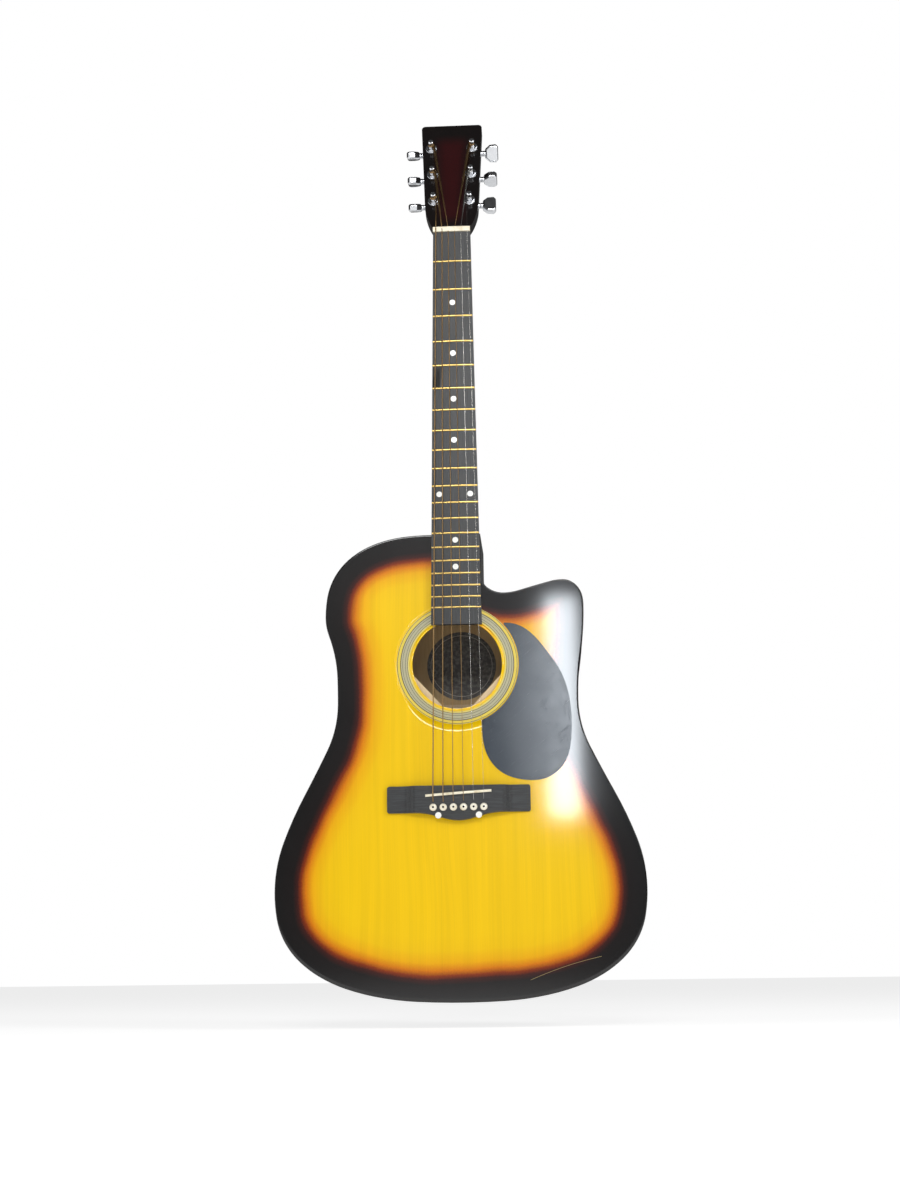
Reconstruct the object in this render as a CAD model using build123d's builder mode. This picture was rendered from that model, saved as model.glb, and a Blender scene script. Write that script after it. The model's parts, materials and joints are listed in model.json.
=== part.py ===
"""Acoustic guitar, 20 frets, round-shouldered cutaway body, six sealed tuning machines.

Frame: +Z runs up the neck, +X is the treble side and the front faces -Y. The face of the
soundboard lies in the plane y = 0 and z = 0 is the front edge of the nut. Sizes are in millimetres.
"""
from build123d import *
import os
from math import asin, atan2, cos, degrees, hypot, pi, radians, sin

os.makedirs("parts", exist_ok=True)

# ---- Driving dimensions -------------------------------------------------------------------------
scale_length = 650.0            # nut to saddle, before the saddle's compensation
fret_count = 20
body_fret = 14                  # the body starts at this fret
nut_width = 43.0
board_width_12 = 52.3           # fingerboard width at the twelfth fret
board_length = 464.5
board_thickness = 6.5
board_radius = 380.0            # curvature across the fingerboard, frets, nut and saddle

body_length = 513.0
upper_half = 146.4              # half widths of the outline
horn_half = 141.0
waist_half = 132.5
lower_half = 201.0
upper_station = 92.0            # how far below the neck joint each width lies
horn_station = 84.0
waist_station = 190.0
lower_station = 394.0
cutaway_depth = 68.0            # lowest point of the cutaway below the neck joint
depth_neck = 100.0              # body depth at the neck joint and at the tail
depth_tail = 115.0

top_thickness = 2.8
back_thickness = 2.8
side_thickness = 2.2
edge_round = 1.2                # softened outer edges of the soundboard and the back
lining_width = 5.5
lining_height = 14.0
block_length = 60.0             # neck block, along the body
block_half = 34.0
tail_block_length = 22.0

hole_radius = 49.5
hole_station = 508.4            # soundhole centre below the nut
rosette_inner = 52.9
rosette_outer = 67.0
rosette_depth = 0.5
guard_thickness = 0.8
guard_gap = 1.0                 # pickguard to rosette

head_tilt = 14.0                # the headstock leans back by this many degrees
head_length = 151.0
head_thickness = 15.0
head_step = 5.0                 # the headstock face meets the nut this far above the soundboard plane
head_nut_half = 22.0
head_low_half = 31.2            # where the straight sides of the headstock start
head_low = 31.0
head_top_half = 36.1
head_corner = 4.5
nut_thickness = 6.0
neck_depth_nut = 14.8
neck_depth_heel = 16.5
heel_length = 66.0
tenon_width = 20.0
tenon_length = 16.0
tenon_height = 60.0

bridge_half = 78.0
bridge_station = 643.0          # front edge below the nut
bridge_width = 29.0
bridge_height = 8.5
wing_height = 3.6
belly_depth = 8.5
saddle_length = 72.0
saddle_thickness = 2.8
saddle_station_bass = 654.0
saddle_station_treble = 649.4
pin_station = 666.7
pin_radius = 2.5
pin_head_radius = 4.0
pin_head_height = 3.4
pin_dot_radius = 1.2
pin_length = 25.0
bolt_station = 675.3
bolt_spread = 22.0

string_diameters = (1.35, 1.07, 0.81, 0.61, 0.41, 0.30)     # string 6 down to string 1
nut_spread = 36.0               # outer strings, centre to centre
bridge_spread = 55.0
action_nut = 1.4                # underside of the strings above the fingerboard, at the nut
action_12 = 3.3                 # and at the twelfth fret
string_gap = 0.15               # round each wire where it passes through wood or plastic

post_stations = (39.0, 78.0, 117.0)        # along the headstock face, from the nut
post_offsets = (21.0, 22.6, 24.2)
button_angles = {1: 0.0, 2: 90.0, 3: 48.0, 4: 58.0, 5: 62.0, 6: 55.0}
post_radius = 3.0
post_waist = 2.55
post_rise = 13.5
gear_teeth = 14
gear_module = 0.5
gear_face = 3.0
worm_pitch_radius = 1.9
backlash = 0.28                 # each side of a worm thread, at the pitch line
running_gap = 0.05
housing_length = 21.0
housing_width = 16.0
housing_thickness = 11.5
worm_drop = 3.5                 # worm axis behind the back of the headstock
snout_radius = 3.4
button_length = 15.5
button_width = 21.0
button_thickness = 9.0
button_reach = 20.0             # outer end of a button beyond the headstock's edge

# ---- Values worked out from them ----------------------------------------------------------------
crown_height = 1.0
crown_width = 2.0
tang_width = 0.5
fret_end_gap = 0.6
tang_depth = 1.8
inlay_depth = 1.2
lap_gap = 0.05


def fret_z(number):
    """Height of a fret, by equal temperament."""
    return -scale_length * (1 - 2 ** (-number / 12))


def board_half(z):
    """Half width of the fingerboard and neck at height z."""
    taper = (board_width_12 - nut_width) / scale_length
    return nut_width / 2 - z * taper


def level(height):
    """Plane parallel to the soundboard, this far in front of its face."""
    return Plane.XZ.offset(height)


def fret_level(x):
    """Drop of the curved fingerboard at x."""
    return board_radius - (board_radius ** 2 - x ** 2) ** 0.5


neck_joint = fret_z(body_fret)
tail = neck_joint - body_length
hole_z = -hole_station
wall_x = board_half(neck_joint) + 0.9
back_rise = (depth_tail - depth_neck) / body_length
back_slant = (1 + back_rise ** 2) ** 0.5    # a thickness square to the back, measured along Y
head_plane = Plane(
    origin=(0, -head_step, nut_thickness),
    x_dir=(1, 0, 0),
    z_dir=(0, -cos(radians(head_tilt)), sin(radians(head_tilt))),
)
gear_pitch_radius = gear_teeth * gear_module / 2
centre_distance = gear_pitch_radius + worm_pitch_radius
thread_pitch = pi * gear_module


# ---- Body outline -------------------------------------------------------------------------------
def node(x, drop, heading):
    """A point of the outline, its drop below the neck joint, and the outline's heading there."""
    return Vector(x, neck_joint - drop), Vector(cos(radians(heading)), sin(radians(heading)))


def bout(middle, station, half, rise, power, steps=4):
    """Nodes down a quarter superellipse, from its crown or its widest point to the other."""
    nodes = []
    for step in range(1, steps):
        turn = pi / 2 * step / steps
        x, y = half * sin(turn) ** (2 / power), abs(rise) * cos(turn) ** (2 / power)
        slope = degrees(atan2((x / half) ** (power - 1) / half, (y / abs(rise)) ** (power - 1) / abs(rise)))
        if rise > 0:
            nodes.append(node(middle + x, station - y, -slope))
        else:
            nodes.insert(0, node(middle + x, station + y, slope - 180))
    return nodes


def arc_joint(start, start_way, end, end_way):
    """Where two arcs of equal legs meet between two tangents, and the direction there."""
    run = end - start
    spread = 1 - start_way.dot(end_way)
    push = run.dot(start_way + end_way)
    leg = run.dot(run) / (push + (push ** 2 + 2 * spread * run.dot(run)) ** 0.5)
    start_corner = start + start_way * leg
    end_corner = end - end_way * leg
    return (start_corner + end_corner) / 2, end_corner - start_corner


def draw_arcs(nodes, inset, side):
    """Pairs of tangent arcs through the nodes, moved in square to them; side -1 mirrors them."""
    moved = []
    for at, way in nodes:
        at = at + Vector(way.Y, -way.X) * inset
        moved.append((Vector(side * at.X, at.Y), Vector(side * way.X, way.Y)))
    for (start, start_way), (end, end_way) in zip(moved, moved[1:]):
        joint, joint_way = arc_joint(start, start_way, end, end_way)
        TangentArc(start, joint, tangent=start_way)
        TangentArc(joint, end, tangent=joint_way)


flare_half = waist_half + (lower_half - waist_half) * 0.53
flare_station = waist_station + (lower_station - waist_station) * 0.49
hollow_half = waist_half + (upper_half - waist_half) * 0.30
hollow_station = upper_station + (waist_station - upper_station) * 0.42
cut_width = horn_half - wall_x
lower_bout = [
    node(waist_half, waist_station, -90),
    node(flare_half, flare_station, -62),
    node(lower_half, lower_station, -90),
    *bout(0, lower_station, lower_half, lower_station - body_length, 2.5),
    node(0, body_length, -180),
]
bass_nodes = [
    node(wall_x, 0, 0),
    *bout(wall_x, upper_station, upper_half - wall_x, upper_station, 2.4),
    node(upper_half, upper_station, -90),
    node(hollow_half, hollow_station, -103),
    *lower_bout,
]
treble_nodes = [
    node(wall_x, cutaway_depth * 0.68, -90),
    node(wall_x + cut_width * 0.233, cutaway_depth, 2),
    node(wall_x + cut_width * 0.53, cutaway_depth * 0.89, 15),
    node(wall_x + cut_width * 0.80, cutaway_depth * 0.80, 0),
    node(wall_x + cut_width * 0.965, cutaway_depth * 0.97, -60),
    node(horn_half, horn_station, -90),
    *lower_bout,
]


def body_face(inset=0.0):
    """The body's outline as a face, moved in by inset."""
    top = neck_joint - inset
    notch = neck_joint - cutaway_depth * 0.68
    with BuildSketch() as outline:
        with BuildLine():
            draw_arcs(treble_nodes, inset, 1)
            draw_arcs(bass_nodes, inset, -1)
            Polyline((-wall_x, top), (wall_x - inset, top), (wall_x - inset, notch))
        make_face()
    return outline.sketch


outer_face = body_face()
inner_face = body_face(side_thickness)
lined_face = body_face(side_thickness + lining_width)
rim_depth = depth_tail + 20     # long enough to reach past the back before it is trimmed to it


def back_room(near, far):
    """The space between two depths measured inward from the tapered back's outer face."""
    above, below = neck_joint + 5, tail - 5
    rows = []
    for z in (above, below):
        back = depth_neck + (neck_joint - z) * back_rise
        rows.append((back - near * back_slant, back - far * back_slant, z))
    with BuildPart() as room:
        with BuildSketch(Plane.YZ):
            Polygon(
                (rows[0][0], above), (rows[0][1], above),
                (rows[1][1], below), (rows[1][0], below), align=None,
            )
        extrude(amount=lower_half + 5, both=True)
    return room.part


inside_back = back_room(back_thickness, depth_neck)     # everything in front of the back plate


# ---- Body ---------------------------------------------------------------------------------------
with BuildPart() as top_plate:
    with BuildSketch(level(0)):
        add(outer_face)
    extrude(amount=-top_thickness)
    fillet(top_plate.faces().sort_by(Axis.Y)[0].edges(), radius=edge_round)
    with BuildSketch(level(0)):
        with Locations((0, hole_z)):
            Circle(hole_radius)
    extrude(amount=-top_thickness, mode=Mode.SUBTRACT)
    with BuildSketch(level(0)):
        with Locations((0, hole_z)):
            Circle(rosette_outer)
            Circle(rosette_inner, mode=Mode.SUBTRACT)
    extrude(amount=-rosette_depth, mode=Mode.SUBTRACT)

with BuildPart() as rosette:
    with BuildSketch(level(0)):
        with Locations((0, hole_z)):
            Circle(rosette_outer)
            Circle(rosette_inner, mode=Mode.SUBTRACT)
    extrude(amount=-rosette_depth)

with BuildPart() as back_plate:
    with BuildSketch(level(-top_thickness)):
        add(outer_face)
    extrude(amount=-rim_depth)
    add(back_room(0, back_thickness), mode=Mode.INTERSECT)
    fillet(back_plate.faces().sort_by(Axis.Y)[-1].edges(), radius=edge_round)


def tenon_face():
    """Plan of the neck's tenon, just under the soundboard."""
    with BuildSketch(level(-top_thickness)) as plan:
        with Locations((0, neck_joint)):
            Rectangle(tenon_width, tenon_length, align=(Align.CENTER, Align.MAX))
    return plan.sketch


def build_side(sign):
    """One bent side, from the seam at the heel round to the seam at the tail."""
    with BuildPart() as side:
        with BuildSketch(level(-top_thickness)):
            add(outer_face)
            add(inner_face, mode=Mode.SUBTRACT)
            with Locations((sign * lower_half, neck_joint - body_length / 2)):
                Rectangle(2 * lower_half, body_length + 20, mode=Mode.INTERSECT)
        extrude(amount=-rim_depth)
        add(inside_back, mode=Mode.INTERSECT)
        extrude(tenon_face(), amount=-tenon_height, mode=Mode.SUBTRACT)
    return side.part


# Footprints of the neck block and the tail block, before they are trimmed to the sides
with BuildSketch() as blocks_plan:
    with Locations((0, neck_joint)):
        Rectangle(2 * block_half, 2 * block_length)
    with Locations((0, tail)):
        Rectangle(2 * block_half, 2 * tail_block_length)
block_plan = blocks_plan.sketch


def build_blocks():
    """Neck block and tail block, from the soundboard to the back."""
    with BuildPart() as blocks:
        with BuildSketch(level(-top_thickness)):
            add(block_plan)
            add(inner_face, mode=Mode.INTERSECT)
        extrude(amount=-rim_depth)
        add(inside_back, mode=Mode.INTERSECT)
        extrude(tenon_face(), amount=-tenon_height, mode=Mode.SUBTRACT)
    return blocks.part.solids().sort_by(Axis.Z)


rod_width = 6.0
rod_height = 9.0
rod_thread_radius = 2.5
rod_nut_radius = 4.5
rod_nut_length = 13.0
rod_start = -9.0
rod_level = -rod_height / 2 - top_thickness
block_end = neck_joint - block_length
rod_bore_gap = 0.4
key_gap = 0.5                   # round the truss nut's way out through the shoulder brace
tail_block_solid, neck_block_solid = build_blocks()

with BuildPart() as neck_block:
    add(neck_block_solid)
    with BuildSketch(Plane.XY.offset(neck_joint)):
        with Locations((0, -rod_level)):
            Circle(rod_thread_radius + rod_bore_gap)
    extrude(amount=-block_length, mode=Mode.SUBTRACT)



def lining_face():
    """Plan of the linings between the blocks, under the soundboard."""
    with BuildSketch(level(-top_thickness)) as plan:
        add(inner_face)
        add(lined_face, mode=Mode.SUBTRACT)
        add(block_plan, mode=Mode.SUBTRACT)
    return plan.sketch


with BuildPart() as back_linings:
    extrude(lining_face(), amount=-rim_depth)
    add(back_room(back_thickness, back_thickness + lining_height), mode=Mode.INTERSECT)

with BuildPart() as linings:
    extrude(lining_face(), amount=-lining_height)
    add(back_linings.part)


# ---- Bracing ------------------------------------------------------------------------------------
def bar(start, end, width):
    """A straight bar's footprint between two points (x, distance below the nut)."""
    run = (end[0] - start[0], start[1] - end[1])
    middle = ((start[0] + end[0]) / 2, -(start[1] + end[1]) / 2)
    with BuildSketch() as footprint:
        with Locations(Location((middle[0], middle[1], 0), degrees(atan2(run[1], run[0])))):
            Rectangle(hypot(run[0], run[1]), width)
    return footprint.sketch


brace_width = 7.0
x_height = 15.0
tone_height = 11.0
x_cross = hole_station + hole_radius + 20.0
x_reach = 170.0                 # half the spread of the long braces at their lower ends
x_drop = 185.0
x_rise = 122.0
x_slope = x_reach / x_drop
plate_half = 52.0
plate_width = 36.0
plate_thickness = 2.5
plate_centre = pin_station - 1.0
long_brace = ((-x_rise * x_slope, x_cross - x_rise), (x_reach, x_cross + x_drop))
cross_brace = ((x_rise * x_slope, x_cross - x_rise), (-x_reach, x_cross + x_drop))
tone_bars = [((-70, 700), (95, 772)), ((-108, 716), (60, 806))]
finger_bars = [((92, 610), (190, 625)), ((-92, 610), (-190, 625)), ((118, 652), (190, 690))]
hole_bars = [((64, 457), (64, 496)), ((-64, 457), (-64, 496))]
shoulder_bar = ((-150, 447), (150, 447))


def lap(first, second, height, cut_level):
    """First brace with a half lap, from a level down, where the second crosses it."""
    with BuildPart() as brace:
        with BuildSketch(level(-top_thickness)):
            add(bar(*first, brace_width))
            add(lined_face, mode=Mode.INTERSECT)
        extrude(amount=-height)
        with BuildSketch(level(cut_level)):
            add(bar(*second, brace_width + 2 * lap_gap))
        extrude(amount=-height / 2 - lap_gap, mode=Mode.SUBTRACT)
    return brace.part


with BuildPart() as top_braces:
    add(lap(long_brace, cross_brace, x_height, -top_thickness))
    add(lap(cross_brace, long_brace, x_height, -top_thickness - x_height / 2 + lap_gap))
    with BuildSketch(level(-top_thickness)):
        for line in tone_bars + finger_bars + hole_bars:
            add(bar(*line, brace_width - 1))
        add(bar(*shoulder_bar, 2 * brace_width))
        add(bar(*long_brace, brace_width + 2 * lap_gap), mode=Mode.SUBTRACT)
        add(bar(*cross_brace, brace_width + 2 * lap_gap), mode=Mode.SUBTRACT)
        add(block_plan, mode=Mode.SUBTRACT)
        add(lined_face, mode=Mode.INTERSECT)
    extrude(amount=-tone_height)
    with BuildSketch(Plane.XY.offset(block_end)):
        with Locations((0, -rod_level)):
            Circle(rod_nut_radius + key_gap)
    extrude(amount=-2 * block_length, mode=Mode.SUBTRACT)

with BuildPart() as plate_blank:
    with BuildSketch(level(-top_thickness)):
        with Locations((0, -plate_centre)):
            Rectangle(2 * plate_half, plate_width)
        add(bar(*long_brace, brace_width + 2 * lap_gap), mode=Mode.SUBTRACT)
        add(bar(*cross_brace, brace_width + 2 * lap_gap), mode=Mode.SUBTRACT)
    extrude(amount=-plate_thickness)

back_brace_stations = (435.0, 545.0, 665.0, 785.0)
back_brace_height = 15.0
back_brace_width = 9.0

with BuildPart() as back_braces:
    with BuildSketch(level(-top_thickness)):
        for station in back_brace_stations:
            with Locations((0, -station)):
                Rectangle(2 * lower_half, back_brace_width)
        add(lined_face, mode=Mode.INTERSECT)
    extrude(amount=-rim_depth)
    add(back_room(back_thickness, back_thickness + back_brace_height), mode=Mode.INTERSECT)

label_radius = 40.0
label_thickness = 0.3
label_station = 493.0

with BuildPart() as label:
    with BuildSketch(level(-top_thickness)):
        with Locations((0, -label_station)):
            Circle(label_radius)
    extrude(amount=-rim_depth)
    add(back_room(back_thickness, back_thickness + label_thickness), mode=Mode.INTERSECT)


# ---- Neck, fingerboard and frets ----------------------------------------------------------------
def neck_section(z, depth, half=None):
    """Half-round section of the neck at height z."""
    with BuildSketch(Plane.XY.offset(z)) as section:
        with BuildLine():
            width = board_half(min(z, 0)) if half is None else half
            EllipticalCenterArc((0, 0), width, depth, start_angle=0, arc_size=180)
            Line((-width, 0), (width, 0))
        make_face()
    return section.sketch


def heel_section(height, width, length):
    """D-shaped section of the heel at a level, flat against the body."""
    with BuildSketch(level(height)) as section:
        with BuildLine():
            EllipticalCenterArc((0, neck_joint), width / 2, length, start_angle=0, arc_size=180)
            Line((-width / 2, neck_joint), (width / 2, neck_joint))
        make_face()
    return section.sketch


def head_face():
    """Plan of the headstock on its own tilted face: waisted at the nut, flat and round-cornered on top."""
    flare = [(head_nut_half, 0), (28.8, 17), (head_low_half, head_low)]
    flare_tangents = ((0.55, 1), (0.06, 1))
    with BuildSketch() as plan:
        with BuildLine():
            Spline(flare, tangents=flare_tangents)
            Polyline(
                flare[-1], (head_top_half, head_length),
                (-head_top_half, head_length), (-head_low_half, head_low),
            )
            Spline([(-x, y) for x, y in flare], tangents=[(-x, y) for x, y in flare_tangents])
            Line((-head_nut_half, 0), (head_nut_half, 0))
        make_face()
        fillet(plan.vertices().group_by(Axis.Y)[-1], radius=head_corner)
    return plan.sketch


def post_points():
    """Post centres on the headstock face with their string numbers: 6, 5, 4 on the bass side."""
    bass = [(-x, y, 6 - i) for i, (x, y) in enumerate(zip(post_offsets, post_stations))]
    treble = [(x, y, 1 + i) for i, (x, y) in enumerate(zip(post_offsets, post_stations))]
    return bass + treble


bushing_radius = 4.6
neck_end = 22.0                 # the shaft runs this far on, inside the headstock
heel_depth = depth_neck - 6.0

with BuildPart() as heel:
    for share, width, length in ((0, 1, 1), (0.25, 0.86, 0.62), (0.62, 0.66, 0.36), (1, 0.52, 0.25)):
        add(heel_section(-heel_depth * share, 2 * board_half(neck_joint) * width, heel_length * length))
    loft()

with BuildPart() as neck:
    middle = (neck_joint + neck_end) / 2
    middle_depth = (neck_depth_nut + neck_depth_heel) / 2
    add(neck_section(neck_joint, neck_depth_heel))
    add(neck_section(middle, middle_depth))
    add(neck_section(neck_end, neck_depth_nut - 0.4))
    loft()
    add(heel.part)
    extrude(tenon_face(), amount=-tenon_height)
    with BuildSketch(head_plane):
        add(head_face())
    extrude(amount=-head_thickness)
    with BuildSketch(head_plane):
        for x, y, number in post_points():
            with Locations((x, y)):
                Circle(bushing_radius)
    extrude(amount=-head_thickness, mode=Mode.SUBTRACT)
    with Locations((0, 0, 0)):
        Box(
            2 * nut_width, 2 * head_step, nut_thickness,
            align=(Align.CENTER, Align.MAX, Align.MIN), mode=Mode.SUBTRACT,
        )
    with Locations((0, top_thickness, rod_start)):
        Box(
            rod_width, rod_height, rod_start - (neck_joint - tenon_length),
            align=(Align.CENTER, Align.MIN, Align.MAX), mode=Mode.SUBTRACT,
        )


def arc_band(low, high, width):
    """Strip of the fingerboard's arched cross-section between two heights over its surface."""
    with BuildSketch() as band:
        with Locations((0, board_radius - board_thickness)):
            Circle(board_radius + high)
            Circle(board_radius + low, mode=Mode.SUBTRACT)
        with Locations((0, -board_thickness)):
            Rectangle(width, 8 * tang_depth, mode=Mode.INTERSECT)
    return band.sketch


def fret_width(number):
    """Length of a fret across the fingerboard, just short of its edges."""
    return 2 * board_half(fret_z(number)) - fret_end_gap


def build_fret(number):
    """One fret: a rounded crown on the arched surface, over a tang."""
    with BuildPart() as fret:
        with BuildSketch(Plane.XY.offset(fret_z(number) + crown_width / 2)):
            add(arc_band(0, crown_height, fret_width(number)))
        extrude(amount=-crown_width)
        rims = fret.edges().filter_by(GeomType.CIRCLE).group_by(lambda rim: rim.radius)[-1]
        fillet(rims, radius=crown_height * 0.75)
        with BuildSketch(Plane.XY.offset(fret_z(number) + tang_width / 2)):
            add(arc_band(-tang_depth, 0, fret_width(number)))
        extrude(amount=-tang_width)
    return fret.part


with BuildPart() as frets:
    add([build_fret(number) for number in range(1, fret_count + 1)])

dot_radius = 3.25
dot_frets = (3, 5, 7, 9, 12, 15, 17)
double_dot = 17.4


def dot_points():
    """Centres of the position dots: between frets, two at the octave."""
    points = []
    for number in dot_frets:
        z = (fret_z(number) + fret_z(number - 1)) / 2
        offsets = (-double_dot, double_dot) if number == 12 else (0,)
        points += [(x, z) for x in offsets]
    return points


def arch_face(height):
    """Cross-section of everything under the arch that stands a height over the soundboard plane."""
    with BuildSketch(Plane.XY) as section:
        with Locations((0, board_radius - height)):
            Circle(board_radius)
    return section.sketch


with BuildPart() as position_dots:
    with BuildSketch(level(board_thickness - inlay_depth - fret_level(double_dot))):
        with Locations(*dot_points()):
            Circle(dot_radius)
    extrude(amount=4 * inlay_depth)
    extrude(arch_face(board_thickness), amount=-board_length - 1, mode=Mode.INTERSECT)

with BuildPart() as fingerboard:
    with BuildSketch(level(0)):
        with BuildLine():
            end_half = board_half(-board_length)
            Polyline(
                (-nut_width / 2, 0), (nut_width / 2, 0),
                (end_half, -board_length), (-end_half, -board_length), close=True,
            )
        make_face()
    extrude(amount=board_thickness)
    extrude(arch_face(board_thickness), amount=-board_length - 1, mode=Mode.INTERSECT)
    for number in range(1, fret_count + 1):
        with BuildSketch(Plane.XY.offset(fret_z(number) + tang_width / 2)):
            add(arc_band(-tang_depth, tang_depth, fret_width(number)))
        extrude(amount=-tang_width, mode=Mode.SUBTRACT)
    with BuildSketch(level(board_thickness - inlay_depth - fret_level(double_dot))):
        with Locations(*dot_points()):
            Circle(dot_radius)
    extrude(amount=4 * inlay_depth, mode=Mode.SUBTRACT)

with BuildPart() as truss_rod:
    with Locations((0, top_thickness, rod_start)):
        Box(
            rod_width, rod_height, rod_start - (neck_joint - tenon_length),
            align=(Align.CENTER, Align.MIN, Align.MAX),
        )
    with BuildSketch(Plane.XY.offset(neck_joint - tenon_length)):
        with Locations((0, -rod_level)):
            Circle(rod_thread_radius)
    extrude(amount=-(block_length - tenon_length + rod_nut_length - 3))

with BuildPart() as truss_nut:
    with BuildSketch(Plane.XY.offset(block_end - 0.5)):
        with Locations((0, -rod_level)):
            Circle(rod_nut_radius)
            Circle(rod_thread_radius + running_gap, mode=Mode.SUBTRACT)
    extrude(amount=-rod_nut_length)
    with BuildSketch(Plane.XY.offset(block_end - 0.5 - rod_nut_length)):
        with Locations((0, -rod_level)):
            Circle(rod_nut_radius)
            RegularPolygon(2.9, 6, mode=Mode.SUBTRACT)
    extrude(amount=-4)


# ---- String layout ------------------------------------------------------------------------------
def saddle_station(x):
    """Where the slanted saddle crosses the line of a string, below the nut."""
    slope = (saddle_station_treble - saddle_station_bass) / saddle_length
    return saddle_station_bass + slope * (x + saddle_length / 2)


def string_level(station, x):
    """Underside of a string above the soundboard plane, rising evenly from nut to saddle."""
    middle = scale_length / 2
    rise = (action_12 - action_nut) / middle
    return board_thickness + action_nut + rise * station - fret_level(x)


def head_point(x, y, height):
    """World position of a point given on the headstock face and its height over it."""
    return head_plane.from_local_coords(Vector(x, y, height))


string_rest = 6.2               # height of the windings over the headstock face
ball_radius = 1.9
slot_drop = 2.2                 # depth at which a string leaves its pin hole


def string_route(number):
    """Corner points of a wire from its ball end, over saddle and nut, to the side of its post."""
    index = 6 - number
    half = string_diameters[index] / 2
    x_bridge = bridge_spread * (index / 5 - 0.5)
    x_nut = nut_spread * (index / 5 - 0.5)
    x_mid = x_nut + (x_bridge - x_nut) * nut_thickness / scale_length
    hole = pin_station - pin_radius - half - running_gap
    saddle = saddle_station(x_bridge)
    post = [point for point in post_points() if point[2] == number][0]
    inward = -1 if post[0] > 0 else 1
    rim = post_waist + half + running_gap
    entry = head_point(post[0] + inward * rim, post[1], string_rest)
    return [
        Vector(x_bridge, top_thickness + plate_thickness + ball_radius, -hole),
        Vector(x_bridge, -bridge_height + slot_drop, -hole),
        Vector(x_bridge, -string_level(saddle, x_bridge) - half, -saddle),
        Vector(x_mid, -string_level(0, x_nut) - half, nut_thickness / 2),
        entry,
    ]


def wire(number, gap=0.0):
    """The wire as a round rod of its gauge plus a gap all round, bent at the bridge, saddle and nut."""
    points = string_route(number)
    with BuildPart() as rod:
        with BuildLine() as route:
            FilletPolyline(points, radius=[1.2, 4.0, 8.0])
        with BuildSketch(Plane(origin=points[0], z_dir=points[1] - points[0])):
            Circle(string_diameters[6 - number] / 2 + gap)
        sweep(path=route.wire())
    return rod.part


slots = [wire(number, string_gap) for number in range(1, 7)]

# ---- Nut, bridge, saddle and pins ---------------------------------------------------------------
nut_rise = 2.4                  # the nut stands this far above the fingerboard
with BuildPart() as nut:
    with BuildSketch(level(0)):
        with Locations((0, nut_thickness / 2)):
            Rectangle(nut_width, nut_thickness)
    extrude(amount=board_thickness + nut_rise)
    extrude(arch_face(board_thickness + nut_rise), amount=nut_thickness, mode=Mode.INTERSECT)
    fillet(nut.edges().filter_by(GeomType.CIRCLE), radius=0.8)
    add(slots, mode=Mode.SUBTRACT)


def bridge_plan():
    """Bridge outline: straight front, wings with rounded ends, a belly behind the pins."""
    back_z = -bridge_station - bridge_width
    belly = bridge_half * 0.62
    with BuildSketch() as plan:
        with BuildLine():
            Line((-bridge_half, -bridge_station), (bridge_half, -bridge_station))
            Line((bridge_half, -bridge_station), (bridge_half, back_z))
            Line((bridge_half, back_z), (belly, back_z))
            Spline(
                [(belly, back_z), (0, back_z - belly_depth), (-belly, back_z)],
                tangents=((-1, 0), (-1, 0), (-1, 0)),
            )
            Line((-belly, back_z), (-bridge_half, back_z))
            Line((-bridge_half, back_z), (-bridge_half, -bridge_station))
        make_face()
        fillet(plan.vertices().group_by(Axis.X)[0], radius=2.5)
        fillet(plan.vertices().group_by(Axis.X)[-1], radius=2.5)
    return plan.sketch


def bridge_profile():
    """Front view of the bridge: full height over the strings, scooped down to thin wings."""
    shoulder = bridge_half * 0.60
    foot = bridge_half * 0.76
    with BuildSketch() as profile:
        with BuildLine():
            Line((-bridge_half, 0), (bridge_half, 0))
            Line((bridge_half, 0), (bridge_half, -wing_height))
            Line((bridge_half, -wing_height), (foot, -wing_height - 0.2))
            Spline([(foot, -wing_height - 0.2), (shoulder, -bridge_height)], tangents=((-1, 0), (-1, 0)))
            Line((shoulder, -bridge_height), (-shoulder, -bridge_height))
            Spline([(-shoulder, -bridge_height), (-foot, -wing_height - 0.2)], tangents=((-1, 0), (-1, 0)))
            Line((-foot, -wing_height - 0.2), (-bridge_half, -wing_height))
            Line((-bridge_half, -wing_height), (-bridge_half, 0))
        make_face()
    return profile.sketch


def pin_points():
    """Centres of the six bridge pins."""
    return [(bridge_spread * (index / 5 - 0.5), -pin_station) for index in range(6)]


saddle_angle = degrees(asin((saddle_station_bass - saddle_station_treble) / saddle_length))
saddle_place = Location((0, -(saddle_station_bass + saddle_station_treble) / 2, 0), saddle_angle)
slot_depth = 4.5
bolt_points = [(-bolt_spread, -bolt_station), (bolt_spread, -bolt_station)]
bolt_radius = 2.4
bolt_dot_radius = 3.4



def bore_face(height):
    """The pin holes and bolt holes under the bridge, at a level."""
    with BuildSketch(level(height)) as plan:
        with Locations(*pin_points()):
            Circle(pin_radius + running_gap)
        with Locations(*bolt_points):
            Circle(bolt_radius)
    return plan.sketch


with BuildPart() as bridge:
    with BuildSketch(level(0)):
        add(bridge_plan())
    extrude(amount=bridge_height)
    with BuildSketch(Plane.XY.offset(-bridge_station + 1)):
        add(bridge_profile())
    extrude(amount=-(bridge_width + belly_depth + 2), mode=Mode.INTERSECT)
    with BuildSketch(level(bridge_height)):
        with Locations(saddle_place):
            Rectangle(saddle_length, saddle_thickness)
    extrude(amount=-slot_depth, mode=Mode.SUBTRACT)
    with BuildSketch(level(bridge_height)):
        with Locations(*bolt_points):
            Circle(bolt_dot_radius)
    extrude(amount=-inlay_depth, mode=Mode.SUBTRACT)
    extrude(bore_face(bridge_height), amount=-bridge_height, mode=Mode.SUBTRACT)
    add(slots, mode=Mode.SUBTRACT)

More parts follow.
